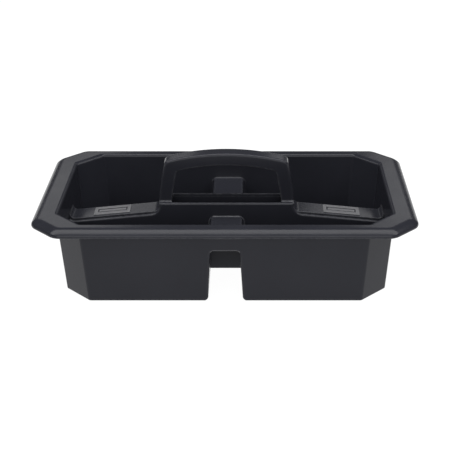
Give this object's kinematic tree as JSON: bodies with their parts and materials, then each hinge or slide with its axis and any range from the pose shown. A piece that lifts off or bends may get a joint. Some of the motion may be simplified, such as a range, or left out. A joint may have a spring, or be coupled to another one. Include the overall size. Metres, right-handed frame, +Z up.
{
  "type": "cleaning caddy",
  "caption": "Open plastic carry tray for cleaning supplies, with a wide turned-down rim, a hollow divider and a fixed arch handle.",
  "frame": {"origin": "middle of the base, on the surface that the caddy stands on", "axes": "+X along the length and the divider, +Y to the back, +Z up"},
  "size_m": [0.4068, 0.2344, 0.1355],
  "materials": {
    "tray_plastic": "fine moulded texture, satin to matte",
    "label_plastic": "satin dark grey, blank"
  },
  "bodies": {
    "root": {"tray": "tray_plastic", "divider": "tray_plastic", "arch_handle": "tray_plastic", "label_plate_left": "label_plastic", "label_plate_right": "label_plastic"}
  },
  "joints": []
}
